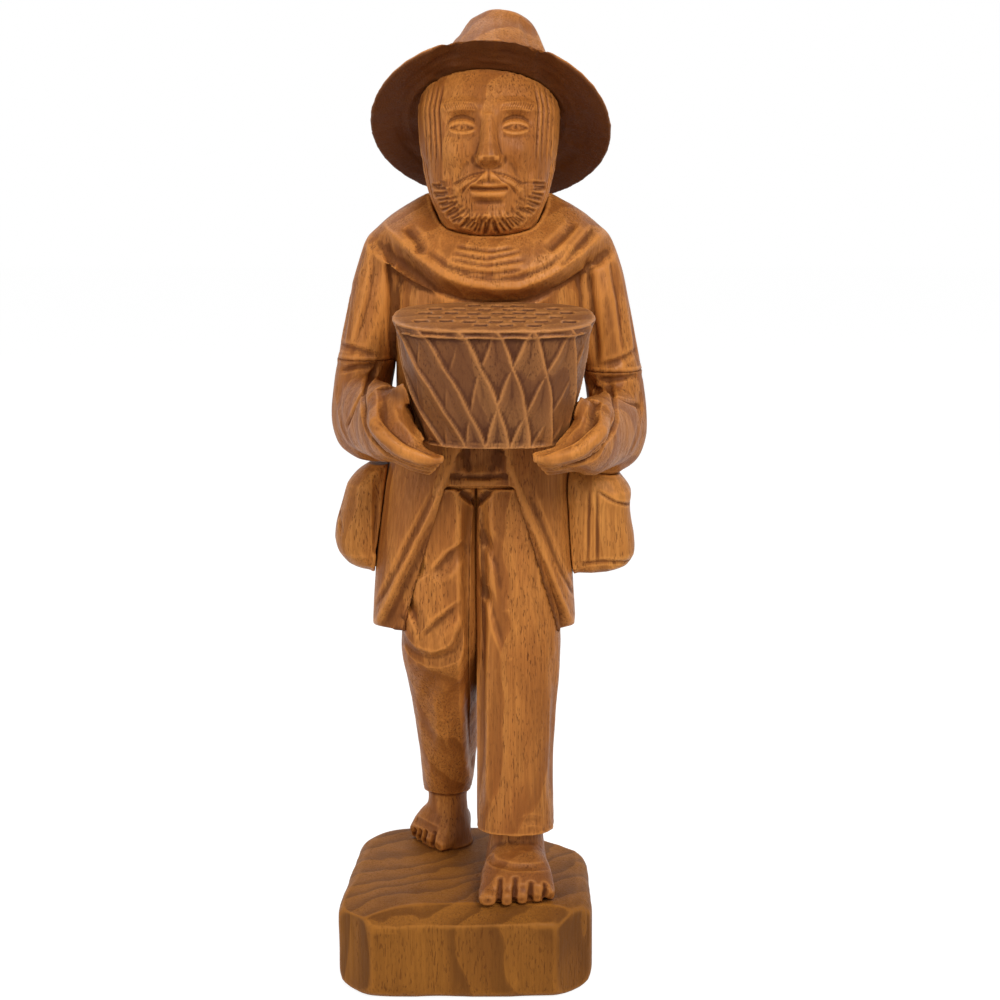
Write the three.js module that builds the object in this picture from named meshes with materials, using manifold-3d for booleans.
// Carved wooden figurine: an old man in a cape and an open coat walks along with a basket in both hands.
// It is glued up from separately carved blocks, with a dowel across each glue face.
// Millimetres, +Z up, facing -Y. The origin is the middle of the plinth's underside.
// Right and left are the figure's own, so its right side is at -X.
import * as THREE from "three";
import { mergeVertices } from "three/addons/utils/BufferGeometryUtils.js";
import Module from "manifold-3d";

// Plinth
const PLINTH_WIDTH = 80.8;
const PLINTH_DEPTH = 81.6;
const PLINTH_HEIGHT = 28.5;
const PLINTH_WORN_EDGE = 4.5; // height of the rounded-over rim of its top
const PLINTH_FRONT_CORNER = 12.5; // flat cut across each corner
const PLINTH_RIGHT_BACK_CORNER = 15;
const PLINTH_LEFT_BACK_CORNER = 29;
const PLINTH_TAPER = 5; // its right side leans in this far towards the back

// Where the figure stands on the plinth's top
const FIGURE_X = 8; // middle line of the chest
const FIGURE_Y = -4.8;
const LEGS_X = -4; // seam between the legs, from the chest's middle line

// Legs and feet, heights above the plinth's top
const WAIST_HEIGHT = 127.5; // glue face between the legs and the coat
const KNEE_HEIGHT = 77.5;
const HIP_WIDTH = 46;
const THIGH_DEPTH = 34;
const KNEE_WIDTH = 26;
const FRONT_HEM_WIDTH = 25;
const FRONT_HEM_HEIGHT = 18.8;
const FRONT_HEM_Y = -8;
const BACK_HEM_WIDTH = 16.5;
const BACK_HEM_HEIGHT = 19.2;
const BACK_HEM_Y = 28;
const SEAM_LAP = 3; // how far each leg's form reaches over the seam, before it is cut along it
const FRONT_ANKLE_RADIUS = 8;
const BACK_ANKLE_RADIUS = 6.2;
const FRONT_FOOT_WIDTH = 24.5;
const BACK_FOOT_WIDTH = 20;
const FOOT_HEIGHT = 16.5;
const FRONT_FOOT_LENGTH = 35.5;
const BACK_FOOT_LENGTH = 17.5;
const BACK_FOOT_TURN = 46; // degrees, toes outwards

// Coat
const TORSO_HEIGHT = 78; // waist to shoulders
const TORSO_WIDTH = 59;
const TORSO_DEPTH = 42;
const TORSO_Y = 4;
const SKIRT_LENGTH = 45; // below the waist
const SKIRT_X = -4.8; // middle of its hem
const COAT_WALL = 3.6;
const OPENING_WIDTH = 18; // between the coat's edges, at the belt
const OPENING_HEM_WIDTH = 49;
const OPENING_HEM_X = -3.1; // middle of the opening at the hem
const OPENING_RISE = 6; // above the waist
const BELT_HEIGHT = 5;

// Cape over the shoulders
const CAPE_WIDTH = 75;
const CAPE_THICKNESS = 4;
const CAPE_DROP = 20; // its front edge hangs this far below the shoulders
const COLLAR_HEIGHT = 11; // above the shoulders

// Arms
const ARM_WIDTH = 18.5;
const ARM_DEPTH = 25;
const SHOULDER_SPREAD = 29; // arm's middle to the chest's middle line
const ELBOW_SPREAD = 40.2;
const RIGHT_ELBOW_DROP = 71.5; // its underside below the shoulder
const LEFT_ELBOW_DROP = 75.5;
const RIGHT_GLUE_DROP = 39.5; // glue face above the elbow, below the shoulder
const LEFT_GLUE_DROP = 43;
const WRIST_SPREAD = 29.4;
const CUFF_HEIGHT = 24;
const FINGER_RADIUS = 3;
const FINGERTIP_SPREAD = 12;

// Head
const HEAD_WIDTH = 43.5;
const HEAD_DEPTH = 42;
const HEAD_HEIGHT = 60;
const HEAD_SEAT = 2; // glue face below the shoulders
const NOSE_LENGTH = 4;

// Hat
const BRIM_WIDTH = 74.2;
const BRIM_THICKNESS = 2.5;
const BRIM_DROOP = 2;
const BRIM_SIDE_DROOP = 2.5; // its sides are bent down past its front and back
const CROWN_HEIGHT = 38;
const CROWN_WIDTH = 42.5;
const CROWN_TOP_WIDTH = 23.5;
const CROWN_CREASE = 4;
const CROWN_LEAN = 1; // its top stands this far to the figure's left of its foot
const HAT_TILT = 40; // degrees, front up
const HAT_ROLL = 4; // degrees, cocked to the figure's left
const HAT_HEIGHT = 34.5; // brim's middle above the head's glue face
const HAT_X = 0.6;
const HAT_Y = 6;

// Basket
const BASKET_X = 1.5;
const BASKET_Y = -38;
const BASKET_WIDTH = 57;
const BASKET_DEPTH = 42;
const BASKET_HEIGHT = 36;
const BASKET_FOOT_WIDTH = 44;
const BASKET_LIP_HEIGHT = 2.6;
const BASKET_LIP_REACH = 0.9;
const BASKET_TILT = 6; // degrees, front down
const BASKET_DROP = 23; // its rim below the shoulders

// Bags at the hips
const RIGHT_BAG_REACH = 49.2; // outer side to the chest's middle line
const LEFT_BAG_REACH = 46.2;
const BAG_DROP = 28.5; // its foot below the waist
const BAG_HEIGHT = 34;
const BAG_DEPTH = 25;
const BAG_Y = 5;

// Joinery
const GLUE_GAP = 0.3;
const DOWEL_RADIUS = 2.5;
const DOWEL_LENGTH = 22;
const DOWEL_CLEARANCE = 0.12;

const BROWN_WOOD = { color: "#a56c3b", roughness: 0.45, metalness: 0 };
const DARK_WOOD = { color: "#74482a", roughness: 0.5, metalness: 0 };
const PEG_WOOD = { color: "#c79a62", roughness: 0.7, metalness: 0 };

const wasm = await Module();
wasm.setup();
const radians = THREE.MathUtils.degToRad;
const FAR = 400; // reaches past everything
const SLIVER = 0.02;
const FIGURE_PLACE = [FIGURE_X, FIGURE_Y, PLINTH_HEIGHT];
const SHOULDER_HEIGHT = WAIST_HEIGHT + TORSO_HEIGHT;
const NECK_HEIGHT = SHOULDER_HEIGHT - HEAD_SEAT;

// A closed geometry as a solid that can be joined and cut.
function solid(geometry) {
  const bare = geometry.clone();
  bare.deleteAttribute("normal");
  bare.deleteAttribute("uv");
  const merged = mergeVertices(bare, 1e-4);
  const mesh = new wasm.Mesh({
    numProp: 3,
    vertProperties: new Float32Array(merged.attributes.position.array),
    triVerts: new Uint32Array(merged.index.array),
  });
  return new wasm.Manifold(mesh);
}

function join(...solids) {
  return solids.reduce((whole, next) => whole.add(next));
}

function cut(whole, ...tools) {
  return tools.reduce((rest, tool) => rest.subtract(tool), whole);
}

// The largest part of a solid, without slivers. The chips that the cuts part from it fall away.
function withoutChips(whole) {
  const largest = whole.decompose().reduce((kept, next) => (next.volume() > kept.volume() ? next : kept));
  return largest.simplify(SLIVER);
}

function box(low, high) {
  const size = high.map((value, i) => value - low[i]);
  const middle = high.map((value, i) => (value + low[i]) / 2);
  return solid(new THREE.BoxGeometry(...size).translate(...middle));
}

// A closed skin over rings of points, each with as many points as the next.
function skin(rings) {
  const sides = rings[0].length;
  const middle = (ring) => {
    const sum = new THREE.Vector3();
    ring.forEach((point) => sum.add(point));
    return sum.divideScalar(sides);
  };
  const points = [...rings.flat(), middle(rings[0]), middle(rings.at(-1))];
  const last = (rings.length - 1) * sides;
  const faces = [];
  for (let s = 0; s < sides; s++) {
    const next = (s + 1) % sides;
    for (let ring = 0; ring < last; ring += sides) {
      faces.push([ring + s, ring + next, ring + next + sides]);
      faces.push([ring + s, ring + next + sides, ring + s + sides]);
    }
    faces.push([next, s, last + sides]);
    faces.push([last + s, last + next, last + sides + 1]);
  }
  const cross = new THREE.Vector3();
  const wedge = ([a, b, c]) => points[a].dot(cross.crossVectors(points[b], points[c]));
  const volume = faces.reduce((sum, face) => sum + wedge(face), 0);
  if (volume < 0) faces.forEach((face) => face.reverse());
  return new THREE.BufferGeometry().setFromPoints(points).setIndex(faces.flat());
}

// Rows of numbers on a smooth curve through the given rows, with this many steps between two of them.
function smooth(rows, steps) {
  const made = [];
  const row = (i) => rows[THREE.MathUtils.clamp(i, 0, rows.length - 1)];
  for (let i = 0; i < rows.length - 1; i++) {
    for (let k = 0; k < steps; k++) {
      const t = k / steps;
      const [before, from, to, after] = [row(i - 1), row(i), row(i + 1), row(i + 2)];
      made.push(
        from.map((start, j) => {
          const out = (to[j] - before[j]) / 2;
          const back = (after[j] - start) / 2;
          const bend = 2 * (start - to[j]) + out + back;
          const lean = 3 * (to[j] - start) - 2 * out - back;
          return start + t * (out + t * (lean + t * bend));
        }),
      );
    }
  }
  made.push(rows.at(-1));
  return made;
}

// An oval ring. Squareness 2 is an ellipse, and more is a rounded rectangle.
function oval(sides, [z, x, y, halfWidth, halfDepth, squareness]) {
  const bulge = (value) => Math.sign(value) * Math.abs(value) ** (2 / squareness);
  return Array.from({ length: sides }, (_, i) => {
    const angle = (2 * Math.PI * i) / sides;
    const [across, along] = [bulge(Math.cos(angle)), bulge(Math.sin(angle))];
    return new THREE.Vector3(x + halfWidth * across, y + halfDepth * along, z);
  });
}

// An upright form through rows of [z, x, y, half width, half depth, squareness], with grow added all over.
function upright(rows, { sides = 28, steps = 3, grow = 0 } = {}) {
  const stations = smooth(rows, steps);
  const end = stations.length - 1;
  const outwards = Math.sign(stations[end][0] - stations[0][0]);
  const rings = stations.map(([z, x, y, halfWidth, halfDepth, squareness], i) => {
    const push = outwards * (i === end ? grow : i === 0 ? -grow : 0);
    return oval(sides, [z + push, x, y, halfWidth + grow, halfDepth + grow, squareness]);
  });
  return solid(skin(rings));
}

// A form along a curve through rows of [x, y, z, half width, half height], its width kept level.
function limb(rows, { sides = 14, steps = 3, grow = 0 } = {}) {
  const stations = smooth(rows, steps);
  const end = stations.length - 1;
  const at = stations.map(([x, y, z]) => new THREE.Vector3(x, y, z));
  const rings = stations.map(([, , , halfWidth, halfHeight], i) => {
    const ahead = at[Math.min(i + 1, end)].clone().sub(at[Math.max(i - 1, 0)]).normalize();
    const side = new THREE.Vector3(-ahead.y, ahead.x, 0);
    if (side.length() < 0.05) side.set(0, 1, 0);
    side.normalize();
    const rise = side.clone().cross(ahead);
    const push = i === 0 ? -grow : i === end ? grow : 0;
    return Array.from({ length: sides }, (_, k) => {
      const angle = (2 * Math.PI * k) / sides;
      const point = at[i].clone().addScaledVector(ahead, push);
      point.addScaledVector(side, (halfWidth + grow) * Math.cos(angle));
      return point.addScaledVector(rise, (halfHeight + grow) * Math.sin(angle));
    });
  });
  return solid(skin(rings));
}

// A round peg, its length along the given direction.
function peg(middle, direction, radius, length) {
  const turn = new THREE.Quaternion().setFromUnitVectors(new THREE.Vector3(0, 1, 0), direction);
  return new THREE.CylinderGeometry(radius, radius, length, 12).applyQuaternion(turn).translate(...middle);
}

const UP = new THREE.Vector3(0, 0, 1);
const FORWARD = new THREE.Vector3(0, 1, 0);
const SIDEWAYS = new THREE.Vector3(1, 0, 0);
const HAT_TURN = new THREE.Euler(-radians(HAT_TILT), radians(HAT_ROLL), 0, "YXZ");
const HAT_AXIS = UP.clone().applyEuler(HAT_TURN);

// The hole for a dowel, a little wider and longer than its dowel.
function dowelHole(middle, direction) {
  return solid(peg(middle, direction, DOWEL_RADIUS + DOWEL_CLEARANCE, DOWEL_LENGTH + 4 * DOWEL_CLEARANCE));
}

// Plinth: a rounded block, with its corners cut off and the rim of its top worn round.
function plinth() {
  const [halfWidth, halfDepth, height] = [PLINTH_WIDTH / 2, PLINTH_DEPTH / 2, PLINTH_HEIGHT];
  const worn = PLINTH_WORN_EDGE;
  const block = upright(
    [
      [0, 0, 0, halfWidth - worn * 0.55, halfDepth - worn * 0.55, 6],
      [worn * 0.35, 0, 0, halfWidth - worn * 0.15, halfDepth - worn * 0.15, 7],
      [worn, 0, 0, halfWidth, halfDepth, 8],
      [height - worn, 0, 0, halfWidth, halfDepth, 7],
      [height - worn * 0.35, 0, 0, halfWidth - worn * 0.3, halfDepth - worn * 0.3, 5.5],
      [height, 0, 0, halfWidth - worn * 0.85, halfDepth - worn * 0.85, 4.5],
    ],
    { sides: 40, steps: 1 },
  );
  const corners = [
    [-1, -1, PLINTH_FRONT_CORNER],
    [1, -1, PLINTH_FRONT_CORNER],
    [-1, 1, PLINTH_RIGHT_BACK_CORNER],
    [1, 1, PLINTH_LEFT_BACK_CORNER],
  ].map(([sideX, sideY, corner]) => {
    const out = (corner - corner / Math.SQRT2) / Math.SQRT2;
    const tool = new THREE.BoxGeometry(2 * corner, 2 * corner, FAR).rotateZ(Math.PI / 4);
    return solid(tool.translate(sideX * (halfWidth + out), sideY * (halfDepth + out), 0));
  });
  return cut(block, ...corners).warp((point) => {
    const back = (point[1] + halfDepth) / PLINTH_DEPTH;
    if (point[0] < 0) point[0] *= 1 - (PLINTH_TAPER / halfWidth) * back;
  });
}

// A trouser leg through rows of [z, width, depth, y, lap], where lap is how far it reaches over the seam.
function trouser(side, rows, grow = 0) {
  const stations = rows.map(([z, width, depth, y, lap]) => {
    const x = LEGS_X + side * (width / 2 - lap);
    return [z, x, y, width / 2, depth / 2, 2.6];
  });
  return upright(stations, { sides: 20, steps: 3, grow });
}

const RIGHT_TROUSER = [
  [BACK_HEM_HEIGHT, BACK_HEM_WIDTH, THIGH_DEPTH * 0.56, BACK_HEM_Y, -SEAM_LAP * 0.67],
  [KNEE_HEIGHT * 0.53, KNEE_WIDTH * 0.8, THIGH_DEPTH * 0.7, BACK_HEM_Y * 0.6, SEAM_LAP * 0.33],
  [KNEE_HEIGHT * 0.78, KNEE_WIDTH * 0.94, THIGH_DEPTH * 0.8, BACK_HEM_Y * 0.25, SEAM_LAP * 0.83],
  [KNEE_HEIGHT, KNEE_WIDTH * 1.04, THIGH_DEPTH * 0.88, FRONT_HEM_Y * 0.3, SEAM_LAP],
  [(KNEE_HEIGHT + WAIST_HEIGHT) / 2, HIP_WIDTH * 0.56, THIGH_DEPTH, 0, SEAM_LAP],
  [WAIST_HEIGHT, HIP_WIDTH / 2 + SEAM_LAP, THIGH_DEPTH, TORSO_Y / 2, SEAM_LAP],
];

const LEFT_TROUSER = [
  [FRONT_HEM_HEIGHT, FRONT_HEM_WIDTH, THIGH_DEPTH * 0.76, FRONT_HEM_Y, SEAM_LAP * 0.1],
  [KNEE_HEIGHT * 0.55, FRONT_HEM_WIDTH, THIGH_DEPTH * 0.8, FRONT_HEM_Y * 0.85, SEAM_LAP * 0.27],
  [KNEE_HEIGHT, KNEE_WIDTH * 1.08, THIGH_DEPTH * 0.88, FRONT_HEM_Y * 0.6, SEAM_LAP / 2],
  [(KNEE_HEIGHT + WAIST_HEIGHT) / 2, HIP_WIDTH * 0.585, THIGH_DEPTH, FRONT_HEM_Y * 0.2, SEAM_LAP],
  [WAIST_HEIGHT, HIP_WIDTH / 2 + SEAM_LAP, THIGH_DEPTH, TORSO_Y / 2, SEAM_LAP],
];

// Along the sole from the heel: distance, half width, half height, as shares of the foot's own sizes.
const SOLE = [
  [0, 0.38, 0.4],
  [0.1, 0.62, 0.75],
  [0.35, 0.76, 1],
  [0.6, 0.92, 0.94],
  [0.8, 0.98, 0.62],
  [0.9, 0.95, 0.46],
];
const TOE_HEIGHT = 3.4; // half height where a toe leaves the foot
const TOES = [
  // width as a share of the foot's, and how far it reaches along the foot
  [0.27, 1],
  [0.2, 1],
  [0.19, 0.96],
  [0.18, 0.92],
  [0.16, 0.86],
];

// A bare foot from the back of its heel, its little toe on the given side.
function foot([heelX, heelY], [footWidth, length], turn, side) {
  const place = (across, along) => [
    heelX + across * Math.cos(turn) - side * -along * Math.sin(turn),
    heelY - along * Math.cos(turn) + side * across * Math.sin(turn),
  ];
  const sole = SOLE.map(([along, width, height]) => {
    const rise = (FOOT_HEIGHT / 2) * height;
    return [...place(0, along * length), rise * 0.8, (footWidth / 2) * width, rise];
  });
  let used = 0;
  const toes = TOES.map(([width, reach]) => {
    const across = side * footWidth * (used + width / 2 - 0.5);
    const thick = (footWidth * width) / 2;
    const tip = length * reach;
    used += width;
    const rows = [
      [...place(across * 0.85, tip - 4 * thick), TOE_HEIGHT, thick, TOE_HEIGHT],
      [...place(across, tip - 1.6 * thick), TOE_HEIGHT * 0.85, thick * 1.05, TOE_HEIGHT * 0.85],
      [...place(across, tip - 0.35 * thick), TOE_HEIGHT * 0.7, thick, TOE_HEIGHT * 0.7],
      [...place(across, tip), TOE_HEIGHT * 0.6, thick * 0.75, TOE_HEIGHT * 0.5],
    ];
    return limb(rows, { sides: 10, steps: 1 });
  });
  return join(limb(sole, { steps: 2 }), ...toes);
}

// Legs: each a trouser leg, its ankle and its bare foot in one block, glued to the other down the seam.
function leg(side, rows, [ankle, radius], footForm) {
  const shin = upright(
    [
      [0, ...ankle, radius * 1.4, radius * 1.45, 2],
      [FOOT_HEIGHT * 0.4, ...ankle, radius * 1.26, radius * 1.3, 2],
      [FOOT_HEIGHT * 0.85, ...ankle, radius * 1.1, radius * 1.15, 2],
      [rows[0][0] + radius, ...ankle, radius, radius * 1.1, 2],
    ],
    { sides: 16, steps: 2 },
  );
  const whole = join(trouser(side, rows), shin, footForm);
  const beyondSeam = box([side > 0 ? -FAR : LEGS_X, -FAR, -FAR], [side > 0 ? LEGS_X : FAR, FAR, FAR]);
  const below = box([-FAR, -FAR, -FAR], [FAR, FAR, 0]);
  return cut(whole, beyondSeam, below);
}

// The coat's outside from its hem to the neck, without the arms.
function coatForm(grow = 0) {
  const [halfWidth, halfDepth] = [TORSO_WIDTH / 2, TORSO_DEPTH / 2];
  const up = (share) => WAIST_HEIGHT + share * TORSO_HEIGHT;
  const y = (share) => TORSO_Y + share * halfDepth;
  return upright(
    [
      [WAIST_HEIGHT - SKIRT_LENGTH, SKIRT_X, y(-0.05), halfWidth * 1.1, halfDepth * 1.14, 2.8],
      [WAIST_HEIGHT - SKIRT_LENGTH / 2, SKIRT_X, y(-0.05), halfWidth * 1.04, halfDepth * 1.1, 2.8],
      [up(0), SKIRT_X * 0.8, y(-0.025), halfWidth * 0.97, halfDepth * 1.04, 2.7],
      [up(0.17), SKIRT_X * 0.4, y(0), halfWidth * 0.95, halfDepth, 2.6],
      [up(0.45), 0, y(0), halfWidth * 0.98, halfDepth, 2.6],
      [up(0.75), 0, y(0), halfWidth, halfDepth, 2.5],
      [up(0.92), 0, y(0.1), halfWidth * 0.95, halfDepth * 0.8, 2.3],
      [up(1), 0, y(0.2), halfWidth * 0.75, halfDepth * 0.5, 2.1],
    ],
    { sides: 28, steps: 2, grow },
  );
}

// The cape: a thick round collar piece whose edge hangs in a curve at the front and the back.
function cape(grow = 0) {
  const [halfWidth, halfDepth] = [CAPE_WIDTH / 2, TORSO_DEPTH / 2 + CAPE_THICKNESS];
  const up = (share) => SHOULDER_HEIGHT + share * COLLAR_HEIGHT;
  const y = (share) => TORSO_Y + share * halfDepth;
  const form = upright(
    [
      [SHOULDER_HEIGHT - CAPE_DROP * 1.3, 0, y(0), halfWidth * 0.95, halfDepth, 2.3],
      [SHOULDER_HEIGHT - CAPE_DROP * 0.55, 0, y(0), halfWidth * 0.99, halfDepth * 0.98, 2.3],
      [up(-0.25), 0, y(0.08), halfWidth, halfDepth * 0.87, 2.2],
      [up(0.25), 0, y(0.14), halfWidth * 0.87, halfDepth * 0.67, 2.1],
      [up(0.65), 0, y(0.2), halfWidth * 0.7, halfDepth * 0.52, 2],
      [up(1), 0, y(0.24), halfWidth * 0.52, halfDepth * 0.4, 2],
    ],
    { sides: 32, steps: 2, grow },
  );
  const edge = new THREE.Shape();
  const reach = halfWidth + grow;
  const steps = 16;
  for (let i = 0; i <= steps; i++) {
    const share = (2 * i) / steps - 1;
    const z = SHOULDER_HEIGHT - grow - CAPE_DROP * (1 - Math.abs(share) ** 2.3);
    if (i === 0) edge.moveTo(share * reach * 1.1, z);
    else edge.lineTo(share * reach * 1.1, z);
  }
  edge.lineTo(reach * 1.1, FAR);
  edge.lineTo(-reach * 1.1, FAR);
  const above = new THREE.ExtrudeGeometry(edge, { depth: FAR, bevelEnabled: false });
  return form.intersect(solid(above.rotateX(Math.PI / 2).translate(0, FAR / 2, 0)));
}

// A whole sleeve from the shoulder round the elbow, before it is cut across at its glue face.
const SLEEVE = [
  // down the arm, spread from shoulder to elbow, width, depth, as shares
  [0.01, 0, 0.92, 0.78],
  [0.14, 0.24, 0.99, 0.92],
  [0.27, 0.43, 1, 1],
  [0.47, 0.7, 1, 1],
  [0.64, 0.89, 1, 1.02],
  [0.78, 1, 1, 1.06],
  [0.87, 0.97, 0.98, 1.04],
  [0.95, 0.78, 0.9, 0.92],
  [1, 0.5, 0.6, 0.6],
];

function sleeve(side, drop, grow = 0) {
  const rows = SLEEVE.map(([down, spread, width, depth]) => {
    const x = side * (SHOULDER_SPREAD + (ELBOW_SPREAD - SHOULDER_SPREAD) * spread);
    const [halfWidth, halfDepth] = [(ARM_WIDTH / 2) * width, (ARM_DEPTH / 2) * depth];
    return [SHOULDER_HEIGHT - down * drop, x, TORSO_Y, halfWidth, halfDepth, 2.2];
  });
  return upright(rows, { sides: 20, steps: 2, grow });
}

// The coat: body, upper sleeves, cape and belt in one block, hollowed under the waist for the legs.
function coat(head, trousers) {
  const rightSleeve = sleeve(-1, RIGHT_ELBOW_DROP);
  const leftSleeve = sleeve(1, LEFT_ELBOW_DROP);
  const [rightFace, leftFace] = [SHOULDER_HEIGHT - RIGHT_GLUE_DROP, SHOULDER_HEIGHT - LEFT_GLUE_DROP];
  const upperSleeves = join(
    cut(rightSleeve, box([-FAR, -FAR, -FAR], [0, FAR, rightFace])),
    cut(leftSleeve, box([0, -FAR, -FAR], [FAR, FAR, leftFace])),
  );
  const wall = coatForm(-COAT_WALL);
  const hollow = join(wall, wall.translate([0, 0, -2 * COAT_WALL]));
  const waistDown = box([-FAR, -FAR, -FAR], [FAR, FAR, WAIST_HEIGHT]);
  const front = TORSO_Y - TORSO_DEPTH / 2;
  const [top, hem] = [WAIST_HEIGHT + OPENING_RISE, WAIST_HEIGHT - SKIRT_LENGTH];
  const [halfTop, halfHem] = [OPENING_WIDTH / 2, OPENING_HEM_WIDTH / 2];
  const belt = box(
    [SKIRT_X * 0.6 - halfTop * 1.2, front + COAT_WALL * 0.3, top - BELT_HEIGHT],
    [SKIRT_X * 0.6 + halfTop * 1.2, TORSO_Y, top],
  );
  const hemBelow = hem - BELT_HEIGHT;
  const flare = ((halfHem - halfTop) * (top - hemBelow)) / (top - hem);
  const wedge = new THREE.Shape();
  wedge.moveTo(SKIRT_X * 0.6 - halfTop, top);
  wedge.lineTo(OPENING_HEM_X - halfTop - flare, hemBelow);
  wedge.lineTo(OPENING_HEM_X + halfTop + flare, hemBelow);
  wedge.lineTo(SKIRT_X * 0.6 + halfTop, top);
  const opening = new THREE.ExtrudeGeometry(wedge, { depth: FAR, bevelEnabled: false });
  opening.rotateX(Math.PI / 2).translate(0, front + COAT_WALL, 0);
  const body = join(cut(coatForm(), solid(opening)), belt);
  return cut(
    join(body, upperSleeves, cape()),
    head,
    hollow.intersect(waistDown),
    trousers.intersect(waistDown),
  );
}

const cuffY = BASKET_Y + BASKET_DEPTH * 0.05;
const cuffZ = (drop) => SHOULDER_HEIGHT - drop + CUFF_HEIGHT * 0.65;

// The lower sleeve from the elbow to the wrist.
function cuff(side, drop, grow = 0) {
  const z = cuffZ(drop);
  const halfHeight = CUFF_HEIGHT / 2;
  const rows = [
    // share of the way to the wrist, inwards and forwards, and its width as a share of the arm's
    [0, 0, 0.46],
    [0.3, 0.4, 0.48],
    [0.75, 0.75, 0.47],
    [1, 1, 0.45],
  ].map(([inwards, forwards, width]) => {
    const x = side * (ELBOW_SPREAD + (WRIST_SPREAD - ELBOW_SPREAD) * inwards);
    const y = TORSO_Y + (cuffY - TORSO_Y) * forwards;
    return [x, y, z + CUFF_HEIGHT * 0.04 * forwards, ARM_WIDTH * width, halfHeight];
  });
  return limb(rows, { grow });
}

// Forearms: the elbow, the sleeve's cuff and the hand, whose fingers curl in under the basket.
function forearm(side, drop, glueDrop) {
  const face = SHOULDER_HEIGHT - glueDrop;
  const elbow = cut(sleeve(side, drop), box([-FAR, -FAR, face], [FAR, FAR, FAR]));
  const z = cuffZ(drop);
  const halfHeight = CUFF_HEIGHT / 2;
  const [wrist, tip] = [WRIST_SPREAD, FINGERTIP_SPREAD];
  const across = (share) => side * (wrist + (tip - wrist) * share);
  const underBasket = SHOULDER_HEIGHT - BASKET_DROP - BASKET_HEIGHT;
  const knuckles = z + FINGER_RADIUS * 2;
  const down = (share) => knuckles + (underBasket - FINGER_RADIUS * 1.2 - knuckles) * share;
  const fromWrist = (share) => cuffY + FINGER_RADIUS * share;
  const above = (share) => z + FINGER_RADIUS * share;
  const fingers = [0, 1, 2, 3].map((i) => {
    const y = fromWrist(1.6 * i - 4.4);
    const low = -FINGER_RADIUS * 0.65 * i;
    const thick = FINGER_RADIUS * (1 - 0.05 * i);
    return limb(
      [
        [across(-0.12), fromWrist(0.7), down(0.1) + low * 0.5, thick * 1.3, thick * 1.3],
        [across(-0.1), y + thick, down(0.35) + low * 0.8, thick * 1.25, thick * 1.3],
        [across(0.25), y, down(0.75) + low, thick * 1.1, thick * 1.2],
        [across(0.7), y - thick / 3, down(0.99) + low, thick * 0.95, thick],
        [across(1 - 0.07 * i), y - thick / 3, down(1.06) + low, thick * 0.6, thick * 0.6],
      ],
      { sides: 10, steps: 3 },
    );
  });
  const heel = (z + down(0.85)) / 2;
  const palm = limb(
    [
      [across(-0.08), fromWrist(1.6), above(0.4), ARM_WIDTH * 0.45, halfHeight * 0.88],
      [across(0.05), fromWrist(-1.2), above(0), ARM_WIDTH * 0.38, halfHeight * 0.8],
      [across(0.25), fromWrist(-2.6), heel, ARM_WIDTH * 0.32, halfHeight * 0.55],
      [across(0.55), fromWrist(-2.6), down(0.85), ARM_WIDTH * 0.24, halfHeight * 0.3],
    ],
    { sides: 14, steps: 3 },
  );
  const thumb = limb(
    [
      [across(-0.05), fromWrist(0.7), above(2.3), FINGER_RADIUS * 1.3, FINGER_RADIUS * 1.3],
      [across(0.1), fromWrist(-1.3), above(3.3), FINGER_RADIUS * 1.2, FINGER_RADIUS * 1.2],
      [across(0.4), fromWrist(-2.3), above(3.5), FINGER_RADIUS, FINGER_RADIUS],
      [across(0.55), fromWrist(-2.7), above(3.3), FINGER_RADIUS * 0.7, FINGER_RADIUS * 0.7],
    ],
    { sides: 10, steps: 3 },
  );
  const whole = join(elbow, cuff(side, drop), palm, thumb, ...fingers);
  return withoutChips(cut(whole, clearOfBody, clearOfBasket));
}

// Head: a full beard, a nose and the crown of the head, cut off where the hat sits on it.
function headForm(grow = 0) {
  const [halfWidth, halfDepth] = [HEAD_WIDTH / 2, HEAD_DEPTH / 2];
  const rows = [
    // height, y, width, depth, as shares of the head's own sizes
    [0, -0.05, 0.5, 0.52],
    [0.045, -0.12, 0.66, 0.72],
    [0.1, -0.1, 0.72, 0.88],
    [0.2, -0.05, 0.84, 0.95],
    [0.32, -0.01, 0.92, 0.97],
    [0.47, 0.02, 0.98, 1],
    [0.62, 0.06, 1, 0.97],
    [0.74, 0.13, 0.95, 0.88],
    [0.84, 0.18, 0.83, 0.74],
    [0.93, 0.22, 0.6, 0.52],
    [1, 0.22, 0.32, 0.28],
  ];
  const stations = rows.map(([up, y, width, depth]) => {
    const z = NECK_HEIGHT + up * HEAD_HEIGHT;
    return [z, 0, y * halfDepth, width * halfWidth, depth * halfDepth, 2.1];
  });
  return upright(stations, { sides: 24, steps: 1, grow });
}

function nose() {
  const rows = [
    // height as a share of the head's, then y, half width and half depth as shares of the nose's length
    [0.345, 0.35, 0.5, 0.4],
    [0.365, 0.1, 0.86, 0.8],
    [0.4, -0.15, 0.94, 1],
    [0.455, 0, 0.66, 0.85],
    [0.53, 0.3, 0.52, 0.65],
    [0.61, 0.62, 0.45, 0.38],
  ];
  const stations = rows.map(([up, y, width, depth]) => {
    const z = NECK_HEIGHT + up * HEAD_HEIGHT;
    return [z, 0, y * NOSE_LENGTH - HEAD_DEPTH / 2, width * NOSE_LENGTH, depth * NOSE_LENGTH, 2];
  });
  return upright(stations, { sides: 12, steps: 2 });
}

// The hat's underside from its middle to its rim: height and radius.
const UNDERSIDE = [
  [0, 0.56],
  [-0.35, 0.78],
  [-1, 0.985],
];
const hatPlace = [HAT_X, HAT_Y, NECK_HEIGHT + HAT_HEIGHT];

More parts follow.
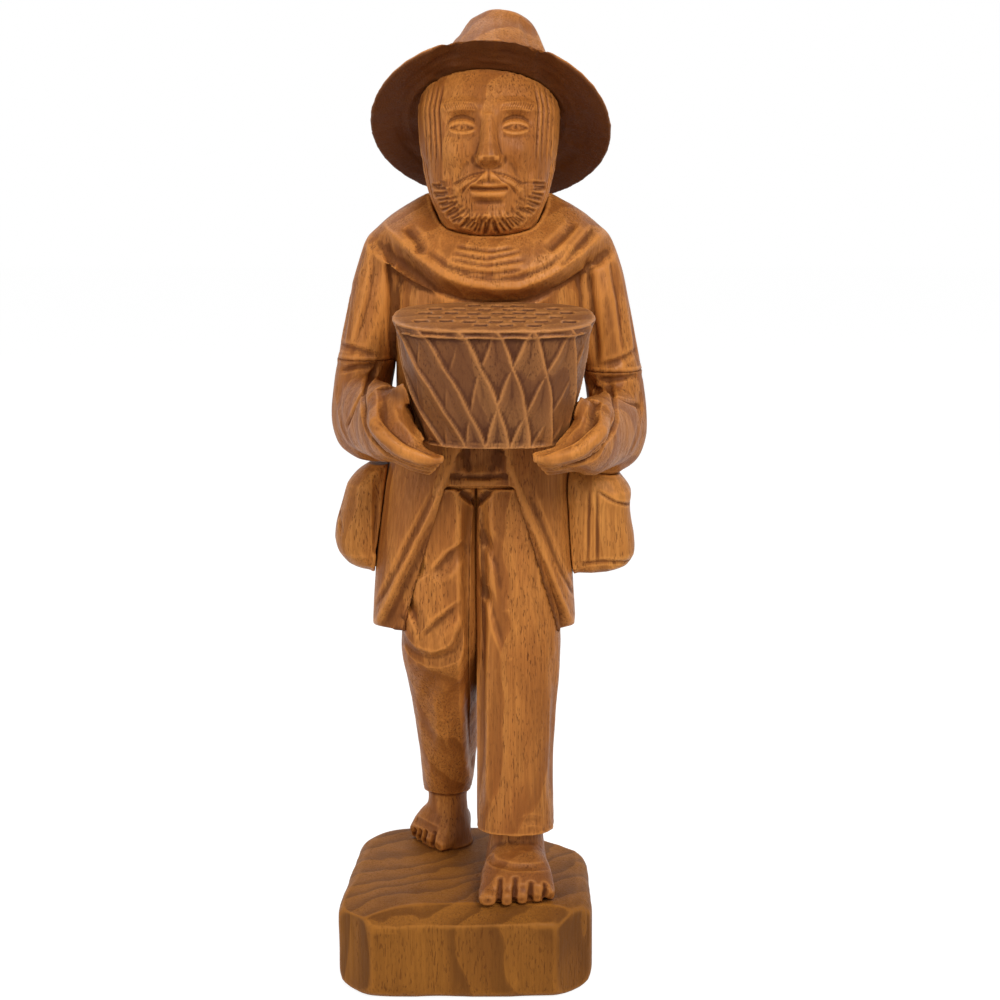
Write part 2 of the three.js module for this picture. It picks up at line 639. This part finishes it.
// Rings about the hat's own axis. Outside the head the sides of the brim bend down.
function hatRings(rows) {
  const flat = (CROWN_WIDTH / 2) * 1.1;
  return rows.map(([z, radius]) => {
    const ring = oval(40, [z, 0, 0, radius, radius, 2]);
    const share = Math.max(0, radius - flat) / (BRIM_WIDTH / 2 - flat);
    const lean = (CROWN_LEAN * Math.max(0, z)) / CROWN_HEIGHT;
    ring.forEach((point) => {
      point.z -= BRIM_SIDE_DROOP * Math.min(share, 1) * (point.x / radius) ** 2;
      point.x += lean;
    });
    return ring;
  });
}

function putOnHead(geometry) {
  const turn = new THREE.Matrix4().makeRotationFromEuler(HAT_TURN);
  return solid(geometry.applyMatrix4(turn).translate(...hatPlace));
}

// Hat: brim and crown in one block, with a crease along the top of the crown.
function hat() {
  const rim = BRIM_WIDTH / 2;
  const crown = CROWN_WIDTH / 2;
  const top = CROWN_TOP_WIDTH / 2;
  const whole = skin(
    hatRings([
      ...UNDERSIDE.map(([z, radius]) => [z * BRIM_DROOP, radius * rim]),
      [-BRIM_DROOP + BRIM_THICKNESS * 0.45, rim],
      [-BRIM_DROOP + BRIM_THICKNESS * 0.9, rim * 0.985],
      [BRIM_THICKNESS * 0.8, rim * 0.78],
      [BRIM_THICKNESS, crown * 1.1],
      [BRIM_THICKNESS * 1.6, crown],
      [CROWN_HEIGHT * 0.4, crown * 0.88],
      [CROWN_HEIGHT * 0.7, (crown * 0.88 + top) / 2],
      [CROWN_HEIGHT * 0.93, top],
      [CROWN_HEIGHT, top * 0.78],
    ]),
  );
  const crease = new THREE.SphereGeometry(1, 16, 10);
  crease.scale(top * 0.3, top * 1.1, CROWN_CREASE).translate(CROWN_LEAN, 0, CROWN_HEIGHT);
  return cut(putOnHead(whole), putOnHead(crease));
}

// All that lies above the hat's underside, less the glue gap.
function aboveHat() {
  const rim = BRIM_WIDTH / 2;
  const rings = hatRings([
    ...UNDERSIDE.map(([z, radius]) => [z * BRIM_DROOP - GLUE_GAP, radius * rim]),
    [-BRIM_DROOP - GLUE_GAP, rim * 1.3],
    [FAR, rim * 1.3],
  ]);
  return putOnHead(skin(rings));
}

// Basket: wider at its rim than at its foot, with a flat lid of small carved pieces inside a lip.
function basket(grow = 0) {
  const [halfWidth, halfDepth] = [BASKET_WIDTH / 2, BASKET_DEPTH / 2];
  const foot = BASKET_FOOT_WIDTH / BASKET_WIDTH;
  const lip = BASKET_LIP_REACH;
  const narrow = (share) => 1 - (1 - foot) * share;
  const rings = [
    [-BASKET_HEIGHT, narrow(1.12)],
    [-BASKET_HEIGHT * 0.94, narrow(1)],
    [-BASKET_HEIGHT * 0.6, narrow(0.48)],
    [-BASKET_HEIGHT * 0.3, narrow(0.16)],
    [-BASKET_LIP_HEIGHT * 1.2, 1],
  ].map(([z, share]) => [z, 0, 0, halfWidth * share, halfDepth * share, 3]);
  rings.push([-BASKET_LIP_HEIGHT, 0, 0, halfWidth + lip, halfDepth + lip, 3]);
  rings.push([-BASKET_LIP_HEIGHT * 0.2, 0, 0, halfWidth + lip, halfDepth + lip, 3]);
  rings.push([0, 0, 0, halfWidth, halfDepth, 3]);
  const end = rings.length - 1;
  const grown = rings.map(([z, x, y, w, d, n], i) => {
    const push = i === 0 ? -grow : i === end ? grow : 0;
    return oval(32, [z + push, x, y, w + grow, d + grow, n]);
  });
  const form = skin(grown).rotateX(radians(BASKET_TILT));
  return solid(form.translate(BASKET_X, BASKET_Y, SHOULDER_HEIGHT - BASKET_DROP));
}

// Bags: carved against the coat at each hip. The right one is round, and the left one square with a flap.
const ROUND_BAG = [
  // height and width, as shares of the bag's own
  [0, 0.45, 0.5],
  [0.06, 0.75, 0.8],
  [0.17, 0.94, 0.97],
  [0.3, 1, 1],
  [0.46, 0.96, 1],
  [0.66, 0.84, 0.95],
  [0.82, 0.78, 0.88],
  [0.95, 0.55, 0.7],
  [1, 0.4, 0.5],
];
const SQUARE_BAG = [
  [0, 0.7, 0.75],
  [0.05, 0.9, 0.92],
  [0.16, 1, 1],
  [0.3, 0.99, 1],
  [0.5, 0.94, 1],
  [0.64, 0.92, 0.98],
  [0.68, 0.95, 1.04],
  [0.76, 0.94, 1.04],
  [0.88, 0.83, 0.95],
  [1, 0.65, 0.7],
];

function bag(side, reach, profile, squareness) {
  const inside = side * SKIRT_X + TORSO_WIDTH / 2 - COAT_WALL;
  const rows = profile.map(([up, width, depth]) => {
    const outside = inside + (reach - inside) * width;
    const z = WAIST_HEIGHT - BAG_DROP + up * BAG_HEIGHT;
    const middle = (side * (inside + outside)) / 2;
    return [z, middle, BAG_Y, (outside - inside) / 2, (BAG_DEPTH / 2) * depth, squareness];
  });
  return upright(rows, { sides: 16, steps: 1 });
}

// Dowels: name, middle and direction. Those of the bags go through the coat into the legs.
const elbowX = (share) => SHOULDER_SPREAD + (ELBOW_SPREAD - SHOULDER_SPREAD) * share;
const hipX = LEGS_X + HIP_WIDTH / 4;
const bagZ = WAIST_HEIGHT - BAG_DROP + BAG_HEIGHT * 0.45;
const backAnkle = [LEGS_X - BACK_HEM_WIDTH / 2 - SEAM_LAP * 0.67, BACK_HEM_Y];
const frontAnkle = [LEGS_X + FRONT_HEM_WIDTH / 2, FRONT_HEM_Y * 0.75];
const basketZ = SHOULDER_HEIGHT - BASKET_DROP - BASKET_HEIGHT * 0.45;
const basketBack = TORSO_Y - TORSO_DEPTH / 2;
const DOWELS = {
  hat_dowel: [hatPlace, HAT_AXIS],
  neck_dowel: [[0, 0, NECK_HEIGHT], UP],
  right_elbow_dowel: [[-elbowX(0.78), TORSO_Y, SHOULDER_HEIGHT - RIGHT_GLUE_DROP], UP],
  left_elbow_dowel: [[elbowX(0.78), TORSO_Y, SHOULDER_HEIGHT - LEFT_GLUE_DROP], UP],
  basket_dowel_right: [[BASKET_X - BASKET_WIDTH / 5, basketBack, basketZ], FORWARD],
  basket_dowel_left: [[BASKET_X + BASKET_WIDTH / 5, basketBack, basketZ], FORWARD],
  right_waist_dowel: [[LEGS_X - HIP_WIDTH / 4, TORSO_Y, WAIST_HEIGHT], UP],
  left_waist_dowel: [[hipX, TORSO_Y, WAIST_HEIGHT], UP],
  right_foot_dowel: [[...backAnkle, 0], UP],
  left_foot_dowel: [[...frontAnkle, 0], UP],
  right_bag_dowel: [[SKIRT_X - TORSO_WIDTH / 2, BAG_Y, bagZ], SIDEWAYS],
  left_bag_dowel: [[SKIRT_X + TORSO_WIDTH / 2, BAG_Y, bagZ], SIDEWAYS],
};
const holesOf = (...names) => names.map((name) => dowelHole(...DOWELS[name]));

// Assembly, each block cut clear of the one that it is glued to.
const body = coatForm(GLUE_GAP);
const trousers = join(trouser(-1, RIGHT_TROUSER, GLUE_GAP), trouser(1, LEFT_TROUSER, GLUE_GAP));
const clearOfBody = join(body, cape(GLUE_GAP));
const footTurn = radians(BACK_FOOT_TURN);
const backHeel = [backAnkle[0] + BACK_FOOT_LENGTH * 0.25, backAnkle[1] + BACK_FOOT_LENGTH * 0.37];
const frontHeel = [frontAnkle[0], frontAnkle[1] + FRONT_ANKLE_RADIUS * 1.25];
const backFoot = foot(backHeel, [BACK_FOOT_WIDTH, BACK_FOOT_LENGTH], footTurn, -1);
const frontFoot = foot(frontHeel, [FRONT_FOOT_WIDTH, FRONT_FOOT_LENGTH], 0, 1);
const clearOfElbows = join(
  sleeve(-1, RIGHT_ELBOW_DROP, GLUE_GAP),
  sleeve(1, LEFT_ELBOW_DROP, GLUE_GAP),
  cuff(-1, RIGHT_ELBOW_DROP, GLUE_GAP),
  cuff(1, LEFT_ELBOW_DROP, GLUE_GAP),
);
const clearOfBasket = basket(GLUE_GAP);
const footHoles = holesOf("right_foot_dowel", "left_foot_dowel");
const plinthHoles = footHoles.map((hole) => hole.translate(FIGURE_PLACE));

const roundBag = bag(-1, RIGHT_BAG_REACH, ROUND_BAG, 2.2);
const squareBag = bag(1, LEFT_BAG_REACH, SQUARE_BAG, 3);

const blocks = {
  right_leg: cut(
    leg(-1, RIGHT_TROUSER, [backAnkle, BACK_ANKLE_RADIUS], backFoot),
    ...holesOf("right_foot_dowel", "right_waist_dowel", "right_bag_dowel"),
  ),
  left_leg: cut(
    leg(1, LEFT_TROUSER, [frontAnkle, FRONT_ANKLE_RADIUS], frontFoot),
    ...holesOf("left_foot_dowel", "left_waist_dowel", "left_bag_dowel"),
  ),
  coat_body: cut(
    coat(headForm(GLUE_GAP), trousers),
    ...holesOf("neck_dowel", "right_elbow_dowel", "left_elbow_dowel"),
    ...holesOf("basket_dowel_right", "basket_dowel_left"),
    ...holesOf("right_waist_dowel", "left_waist_dowel", "right_bag_dowel", "left_bag_dowel"),
  ),
  head: cut(join(headForm(), nose()), aboveHat(), ...holesOf("neck_dowel", "hat_dowel")),
  hat: cut(hat(), ...holesOf("hat_dowel")),
  basket: cut(basket(), clearOfBody, ...holesOf("basket_dowel_right", "basket_dowel_left")),
  right_forearm: cut(forearm(-1, RIGHT_ELBOW_DROP, RIGHT_GLUE_DROP), ...holesOf("right_elbow_dowel")),
  left_forearm: cut(forearm(1, LEFT_ELBOW_DROP, LEFT_GLUE_DROP), ...holesOf("left_elbow_dowel")),
  right_bag: cut(roundBag, body, clearOfElbows, ...holesOf("right_bag_dowel")),
  left_bag: cut(squareBag, body, clearOfElbows, ...holesOf("left_bag_dowel")),
};

function named(name, geometry, material) {
  const mesh = new THREE.Mesh(geometry, new THREE.MeshStandardMaterial(material));
  mesh.name = name;
  return mesh;
}

function geometryOf(form) {
  const mesh = form.getMesh();
  const geometry = new THREE.BufferGeometry();
  geometry.setAttribute("position", new THREE.Float32BufferAttribute(mesh.vertProperties, mesh.numProp));
  geometry.setIndex(new THREE.Uint32BufferAttribute(mesh.triVerts, 1));
  return geometry;
}

const figure = new THREE.Group();
figure.position.set(...FIGURE_PLACE);
for (const [name, form] of Object.entries(blocks)) {
  figure.add(named(name, geometryOf(form), name === "basket" ? DARK_WOOD : BROWN_WOOD));
}
for (const [name, [middle, direction]] of Object.entries(DOWELS)) {
  figure.add(named(name, peg(middle, direction, DOWEL_RADIUS, DOWEL_LENGTH), PEG_WOOD));
}

const group = new THREE.Group();
group.add(named("plinth", geometryOf(cut(plinth(), ...plinthHoles)), BROWN_WOOD));
group.add(figure);

export default group;
